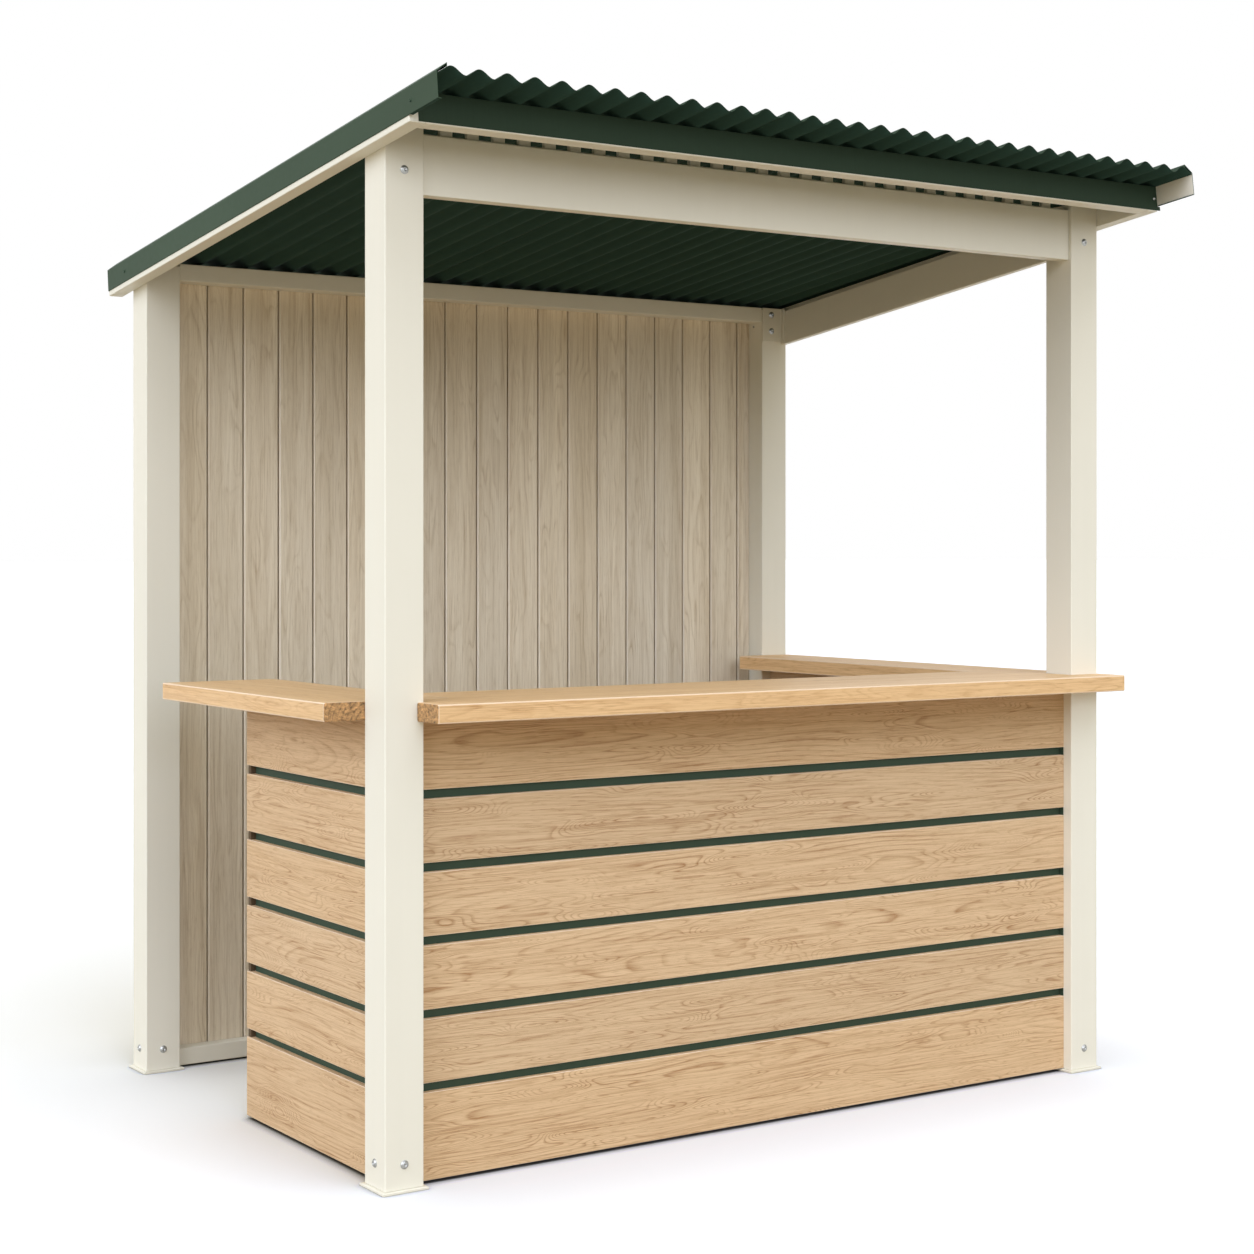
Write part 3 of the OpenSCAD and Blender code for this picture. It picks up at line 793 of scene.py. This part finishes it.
def slatted_walls(recipe):
    """Oak slats on the three counter walls, each slat with its own grain."""
    for side, first in SLAT_NUMBERS.items():
        node = side + "_slats"
        low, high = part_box(node)
        middle = (low + high) / 2
        length = max(high.x - low.x, high.y - low.y)
        thickness = min(high.x - low.x, high.y - low.y)
        gaps = (MIDDLE_SLATS + 1) * SLAT_GAP
        middle_height = (high.z - low.z - FOOT_SLAT_HEIGHT - TOP_SLAT_HEIGHT - gaps) / MIDDLE_SLATS
        turn = 0.0 if ALONG[side] == X else math.pi / 2
        place = (low.x, middle.y, low.z) if ALONG[side] == X else (middle.x, low.y, low.z)
        slats = cook(new_piece("oak_" + node), recipe, {
            "Length": length, "Thickness": thickness, "First Height": FOOT_SLAT_HEIGHT,
            "Middle Height": middle_height, "Last Height": TOP_SLAT_HEIGHT, "Gap": SLAT_GAP,
            "Middle Count": MIDDLE_SLATS, "Arris": SLAT_ARRIS, "Arris Steps": 2, "First Board": first,
            "Turn": (0.0, 0.0, turn), "Place": place, "Finish": OAK_SLAT})
        stands_for(slats, "slat_oak", node)


def back_wall(recipe):
    """Upright boards with chamfered joints, the last one cut to fit, and a tongue behind the joints,
    darkened as painted shade.
    """
    low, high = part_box("back_wall")
    size = high - low
    whole = int(size.x // BOARD_COVER)
    cut = size.x - whole * BOARD_COVER
    boards = cook(new_piece("upright_wall_boards"), recipe, {
        "Length": size.z, "Thickness": size.y, "First Height": cut - BOARD_JOINT,
        "Middle Height": BOARD_COVER - BOARD_JOINT, "Last Height": BOARD_COVER, "Gap": BOARD_JOINT,
        "Middle Count": whole - 1, "Arris": BOARD_ARRIS, "Arris Steps": 1, "First Board": WALL_NUMBER,
        "Turn": (0.0, -math.pi / 2, 0.0), "Place": (high.x, (low.y + high.y) / 2, low.z),
        "Finish": WALL_WOOD})
    stands_for(boards, "wall_boards", "back_wall")
    work = bmesh.new()
    add_bar(work, low + Vector((BOARD_JOINT, TONGUE_FACE, BOARD_JOINT)),
            Vector((size.x - 2 * BOARD_JOINT, 0, 0)), Vector((0, TONGUE_DEPTH, 0)),
            Vector((0, 0, size.z - 2 * BOARD_JOINT)))
    tongue = mark_grain(finished(work, "wall_board_tongues", SHADED_TONGUE_WOOD), Z, X, Y, TONGUE_NUMBER)
    stands_for(tongue, "wall_boards")


def close_gap_ends(work, side, along):
    """Turns a green board's ends out between the slats, dark returns that stand in for shade, so that no
    post shows white in the gaps.
    """
    low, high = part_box(side + "_backing")
    slat_low, slat_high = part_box(side + "_slats")
    across = other(along)
    if slat_low[across] < low[across]:
        near, far = slat_low[across] + RETURN_SET, low[across]
    else:
        near, far = high[across], slat_high[across] - RETURN_SET
    thick, deep = Vector((0, 0, 0)), Vector((0, 0, 0))
    thick[along] = RETURN_THICKNESS
    deep[across] = far - near
    ends = [low[along]] if side == "left" else [low[along], high[along] - RETURN_THICKNESS]
    for end in ends:
        start = low.copy()
        start[along] = end
        start[across] = near
        add_bar(work, start, thick, deep, Vector((0, 0, high.z - low.z)))


def counter_boards():
    """Linings, closing board and green backing boards of the counter walls, and its black foot."""
    for side, along in ALONG.items():
        lining = finished(eased_mesh(side + "_lining", LINING_ARRIS, 1), f"oak_{side}_lining", OAK_LINING)
        mark_grain(lining, along, Z, other(along), LINING_NUMBERS[side])
        stands_for(lining, "lining_oak", side + "_lining")
        work = eased_mesh(side + "_backing", BACKING_ARRIS, 1)
        close_gap_ends(work, side, along)
        backing = finished(work, f"green_{side}_backing", BOARD_GREEN)
        stands_for(backing, "backing_green", side + "_backing")
    # The blocks that the closing board holds between the slats are painted dark as shade, apart from
    # their ends
    work = eased_mesh("left_end_cap", LINING_ARRIS, 1)
    block_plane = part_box("left_backing")[0].x - LINING_ARRIS / 2
    for face in work.faces:
        between_slats = face.calc_center_median().x < block_plane
        face.material_index = int(between_slats and face.normal.y < SIDE_FACING)
    cap = finished(work, "oak_left_end_cap", OAK_LINING, BLOCK_SHADE_BROWN)
    stands_for(mark_grain(cap, Z, X, Y, END_CAP_NUMBER), "lining_oak", "left_end_cap")
    foot = finished(eased_mesh("left_wall_foot", LINING_ARRIS, 1), "black_left_wall_foot", FOOT_BLACK)
    stands_for(foot, "foot_black", "left_wall_foot")


def counter_tops():
    """Oak tops with rounded arrises, and end grain at their ends."""
    for side, along in ALONG.items():
        node = "counter_top_" + side
        top = finished(eased_mesh(node, TOP_ARRIS, 3), "oak_" + node, OAK_TOP)
        mark_grain(top, along, other(along), Z, TOP_NUMBERS[side])
        stands_for(top, "counter_oak", node)


# Fixings

LEFT = Vector((-1, 0, 0))
RIGHT = Vector((1, 0, 0))
FORWARD = Vector((0, -1, 0))
BACK = Vector((0, 1, 0))
BAY_RIGHT = FRAME_WIDTH - POST
BAY_REAR = FRAME_DEPTH - POST
FOOT_BOLT_HEIGHT = 0.063
HEAD_BOLT_HEIGHT = 2.332
BRACKET_BOLT_SET = 0.036
BRACKET_BOLT_DROP = 0.022
BRACKET_LEG = 0.005
WALL_SCREW_HEIGHT = 2.214
WALL_SCREW_SET = 0.054
FASCIA_SCREW_SET = 0.012
VERGE_SCREW_DROP = 0.026
VERGE_SCREW_FRONT_SET = 0.12
VERGE_SCREW_REAR_SET = 0.13
REAR_SCREW_LINE = 0.035
DOME_STEPS = 24
SCREW_STEPS = 16
HEXAGON_SIDES = 6

# Sections of the heads, as radius and height in metres from the middle out
DOME_SECTION = (
    (0.0, 0.0022), (0.0028, 0.0022), (0.0030, 0.0046), (0.0044, 0.0050), (0.0064, 0.0042),
    (0.0082, 0.0026), (0.0090, 0.0010), (0.0092, 0.0008), (0.0100, 0.0008), (0.0103, 0.0004),
    (0.0103, -0.001))
PAN_SECTION = (
    (0.0, 0.0008), (0.0012, 0.0009), (0.0020, 0.0022), (0.0034, 0.0020), (0.0042, 0.0008),
    (0.0043, -0.0006))
VERGE_SECTION = (
    (0.0, 0.0012), (0.0014, 0.0013), (0.0022, 0.0026), (0.0036, 0.0024), (0.0046, 0.0010),
    (0.0050, -0.0006))
HEXAGON_SECTION = (
    (0.0, 0.0082), (0.0040, 0.0080), (0.0045, 0.0074), (0.0045, 0.0028), (0.0088, 0.0022),
    (0.0090, -0.0008))


def turned_head(name, section, turns, material):
    """A head made by turning a section of (radius, height) about Z."""
    work = bmesh.new()
    verts = [work.verts.new((radius, 0, height)) for radius, height in section]
    edges = [work.edges.new(pair) for pair in zip(verts, verts[1:])]
    bmesh.ops.spin(work, geom=verts + edges, cent=(0, 0, 0), axis=(0, 0, 1),
                   angle=2 * math.pi, steps=turns, use_merge=True, use_duplicate=False)
    bmesh.ops.remove_doubles(work, verts=work.verts, dist=MERGE_DISTANCE)
    bmesh.ops.recalc_face_normals(work, faces=work.faces)
    for face in work.faces:
        face.smooth = turns > HEXAGON_SIDES
    mesh = bpy.data.meshes.new(name)
    work.to_mesh(mesh)
    work.free()
    mesh.materials.append(material)
    return bpy.data.objects.new(name, mesh)


def fix(name, recipe, head, spots, material, slot, seed):
    """Sets a head at each (place, way it faces)."""
    mesh = bpy.data.meshes.new(name)
    mesh.from_pydata([place for place, way in spots], [], [])
    facing = mesh.attributes.new("facing", "FLOAT_VECTOR", "POINT")
    for index, (place, way) in enumerate(spots):
        facing.data[index].vector = way
    piece = cook(new_piece(name, mesh), recipe, {"Head": head, "Seed": seed, "Finish": material})
    stands_for(piece, slot)
    bpy.data.objects.remove(head)


def bolt_places():
    """Bolts near the feet and heads of the posts and on the brackets, as (place, way it faces)."""
    middle = POST / 2
    bolts = []
    for x, side_x, side in ((0.0, 0.0, LEFT), (BAY_RIGHT, FRAME_WIDTH, RIGHT)):
        for y in (0.0, BAY_REAR):
            bolts.append((at(side_x, y + middle, FOOT_BOLT_HEIGHT), side))
            bolts.append((at(x + middle, y, FOOT_BOLT_HEIGHT), FORWARD))
        bolts.append((at(x + middle, 0.0, HEAD_BOLT_HEIGHT), FORWARD))
        bolts.append((at(x + middle, FRAME_DEPTH, FOOT_BOLT_HEIGHT), BACK))
    rear_low, rear_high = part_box("bracket_rear")
    front_low, front_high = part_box("bracket_front")
    bracket_x = rear_low.x + BRACKET_BOLT_SET
    for z in (rear_high.z - BRACKET_BOLT_DROP, rear_low.z + BRACKET_BOLT_SET):
        bolts.append((Vector((bracket_x, rear_high.y - BRACKET_LEG, z)), FORWARD))
    for z in (front_high.z - BRACKET_BOLT_DROP, front_low.z + BRACKET_BOLT_SET):
        bolts.append((Vector((bracket_x, front_low.y + BRACKET_LEG, z)), BACK))
    return bolts


def small_screw_places():
    """One screw beside each end of the wall's top rail and one in the fascia."""
    wall_y = FRAME_DEPTH - WALL_SCREW_SET
    return [(at(POST, wall_y, WALL_SCREW_HEIGHT), RIGHT),
            (at(BAY_RIGHT, wall_y, WALL_SCREW_HEIGHT), LEFT),
            (on_slope(ROOF_RIGHT - FASCIA_SCREW_SET, -FASCIA_REACH, -RAIL_DEPTH / 2), -ROOF_DOWN)]


def verge_screw_places():
    """Two screws in the drop of each verge flashing."""
    screws = []
    for down in (SHEET_START + VERGE_SCREW_FRONT_SET, SHEET_END - VERGE_SCREW_REAR_SET):
        screws.append((on_slope(ROOF_LEFT - FLASHING_THICKNESS, down, -VERGE_SCREW_DROP), LEFT))
        screws.append((on_slope(ROOF_RIGHT + FLASHING_THICKNESS, down, -VERGE_SCREW_DROP), RIGHT))
    return screws


def roof_screw_places():
    """A screw on every other crest, over the front rail and over the wall."""
    crest = SHEET_SEAT + WAVE_DEPTH + SHEET_THICKNESS
    front_line = -FASCIA_REACH + FLASHING_THICKNESS + RAIL_WIDTH / 2
    rear_line = (BAY_REAR + REAR_SCREW_LINE) / math.cos(ROOF_FALL)
    crests = [ROOF_LEFT + WAVE_PITCH * (i + 0.5) for i in range(1, WAVE_COUNT - 1, 2)]
    return [(on_slope(x, down, crest), ROOF_UP) for x in crests for down in (front_line, rear_line)]


def fixings():
    """Dome bolts on the posts and brackets, small screws, and roofing screws on the crests."""
    recipe = fixings_recipe()
    dome = turned_head("dome_bolt", DOME_SECTION, DOME_STEPS, ZINC)
    fix("dome_bolts", recipe, dome, bolt_places(), ZINC, "bolt_steel", seed=3)
    pan = turned_head("pan_screw", PAN_SECTION, SCREW_STEPS, ZINC)
    fix("pan_screws", recipe, pan, small_screw_places(), ZINC, "bolt_steel", seed=5)
    coated = turned_head("painted_screw", VERGE_SECTION, SCREW_STEPS, LIT_VERGE_GREEN)
    fix("verge_screws", recipe, coated, verge_screw_places(), LIT_VERGE_GREEN, "roof_green", seed=7)
    hexagon = turned_head("roofing_screw", HEXAGON_SECTION, HEXAGON_SIDES, ROOF_GREEN)
    fix("roofing_screws", recipe, hexagon, roof_screw_places(), ROOF_GREEN, "roof_green", seed=11)


# Stage, light and camera

FLOOR_HALF = 300.0
FLOOR_GLOW = 0.37
SHADE_REACH = 0.45
SHADE_DEPTH = 1.7
JOINT_REACH = 0.03
BOUNCE_FLOOR_HEIGHT = -0.001
LAMP_COLOUR = (0.92, 1.0, 1.20)


def floor_finish(name):
    """A material with no shine."""
    made, tree, shader = new_material(name)
    shader.inputs["Roughness"].default_value = 0.9
    shader.inputs["Specular IOR Level"].default_value = 0.0
    return made, tree, shader


def plain_floor(name, material, height):
    """A wide flat floor that isn't part of the stall."""
    work = bmesh.new()
    corners = ((-1, -1), (1, -1), (1, 1), (-1, 1))
    work.faces.new([work.verts.new((x * FLOOR_HALF, y * FLOOR_HALF, height)) for x, y in corners])
    floor = finished(work, name, material)
    return floor


def openness(tree, reach):
    """A number from 0 in a tight corner to 1 where nothing stands within reach."""
    return add(tree, "ShaderNodeAmbientOcclusion", {"Distance": reach}, samples=8).outputs["AO"]


def white_floor():
    """The picture's floor: white, with painted shade close to what stands on it."""
    white, tree, shader = floor_finish("white floor")
    shader.inputs["Emission Color"].default_value = (1, 1, 1, 1)
    open_sky = openness(tree, SHADE_REACH)
    open_joint = openness(tree, JOINT_REACH)
    # Painted shade: the colour goes nearly black in tight joints, and the glow fades close to what stands
    # on the floor
    colour = blend(tree, open_joint, (0.01, 0.01, 0.01, 1), (0.82, 0.855, 0.965, 1))
    plug(tree, shader.inputs["Base Color"], colour)
    clear = maths(tree, "MULTIPLY", maths(tree, "POWER", open_sky, SHADE_DEPTH), open_joint)
    plug(tree, shader.inputs["Emission Strength"], maths(tree, "MULTIPLY", clear, FLOOR_GLOW))
    floor = plain_floor("floor", white, 0.0)
    floor.visible_diffuse = False
    floor.visible_shadow = False
    return floor


def bounce_floor():
    """A darker floor that doesn't show and only throws light back up."""
    dull, tree, shader = floor_finish("bounce floor")
    shader.inputs["Base Color"].default_value = (0.37, 0.31, 0.215, 1)
    floor = plain_floor("bounce_floor", dull, BOUNCE_FLOOR_HEIGHT)
    floor.visible_camera = False
    floor.visible_glossy = False
    floor.visible_transmission = False


def white_sky():
    """An even warm sky that shows as plain white."""
    world = bpy.data.worlds.new("white sky")
    scene.world = world
    world.use_nodes = True
    sky = world.node_tree
    sky.nodes.clear()
    path = sky.nodes.new("ShaderNodeLightPath").outputs
    mirrored = maths(sky, "MAXIMUM", path["Is Glossy Ray"], path["Is Transmission Ray"])
    seen = maths(sky, "MAXIMUM", path["Is Camera Ray"], mirrored)
    lighting = add(sky, "ShaderNodeBackground", {"Color": (1.06, 1.0, 0.75, 1), "Strength": 0.57})
    backdrop = add(sky, "ShaderNodeBackground", {"Color": (1, 1, 1, 1), "Strength": 1.0})
    mixed = add(sky, "ShaderNodeMixShader", {0: seen, 1: lighting, 2: backdrop})
    plug(sky, sky.nodes.new("ShaderNodeOutputWorld").inputs["Surface"], mixed)


def soft_lamp(name, way, energy, spread):
    """A broad lamp far off in the direction given."""
    light = bpy.data.lights.new(name, "SUN")
    light.energy = energy
    light.angle = math.radians(spread)
    light.color = LAMP_COLOUR
    lamp = bpy.data.objects.new(name, light)
    lamp.rotation_euler = Vector(way).to_track_quat("Z", "Y").to_euler()
    scene.collection.objects.link(lamp)
    return lamp


def choose_lit(lamp, name, state, *pieces):
    """Keeps a lamp off some pieces, or keeps it to them."""
    chosen = bpy.data.collections.new(name)
    for piece in pieces:
        chosen.objects.link(piece)
    for member in chosen.collection_objects:
        member.light_linking.link_state = state
    lamp.light_linking.receiver_collection = chosen


def lamps(floor):
    """A soft key on the left and fills in front."""
    # The key is kept off the picture's floor, so no long shadow falls across it
    key = soft_lamp("soft key", (-0.825, -0.19, 0.53), 2.10, 55)
    choose_lit(key, "all but the floor", "EXCLUDE", floor)
    soft_lamp("high front fill", (0.05, -0.50, 0.86), 0.92, 40)
    # The low fill reaches in to the wall, and a steeper one takes its place on the slats
    slats = [bpy.data.objects[f"oak_{side}_slats"] for side in SLAT_NUMBERS]
    low_fill = soft_lamp("low front fill", (-0.12, -0.955, 0.27), 0.82, 32)
    choose_lit(low_fill, "all but the slats", "EXCLUDE", *slats)
    slat_fill = soft_lamp("slat fill", (-0.12, -0.74, 0.66), 1.04, 40)
    choose_lit(slat_fill, "the slats alone", "INCLUDE", *slats)


def stage():
    """Floors, sky and lamps, none of them part of the stall."""
    floor = white_floor()
    bounce_floor()
    white_sky()
    lamps(floor)


# The photograph's view, in pixels of its frame and metres
PHOTO_SIDE = 1254
FOCAL_PIXELS = 2241.5
HORIZON_PIXEL = 551.85
EYE = (-2.3717, -4.5293, 1.4605)
EYE_TURN = math.radians(33.802)
SENSOR = 36.0
FAR_LIMIT = 1000.0


def camera():
    """A level view from the front left, with the horizon above the middle of the picture."""
    lens = bpy.data.cameras.new("view")
    lens.sensor_width = SENSOR
    lens.lens = FOCAL_PIXELS / PHOTO_SIDE * SENSOR
    lens.shift_y = (HORIZON_PIXEL - PHOTO_SIDE / 2) / PHOTO_SIDE
    lens.clip_end = FAR_LIMIT
    eye = bpy.data.objects.new("view", lens)
    eye.location = at(*EYE)
    eye.rotation_euler = (math.pi / 2, 0, -EYE_TURN)
    scene.collection.objects.link(eye)
    scene.camera = eye


board_row = board_row_recipe()
painted_frame()
roof_sheets()
flashings()
slatted_walls(board_row)
back_wall(board_row)
counter_boards()
counter_tops()
fixings()
stage()
camera()
scene.view_settings.view_transform = "Standard"
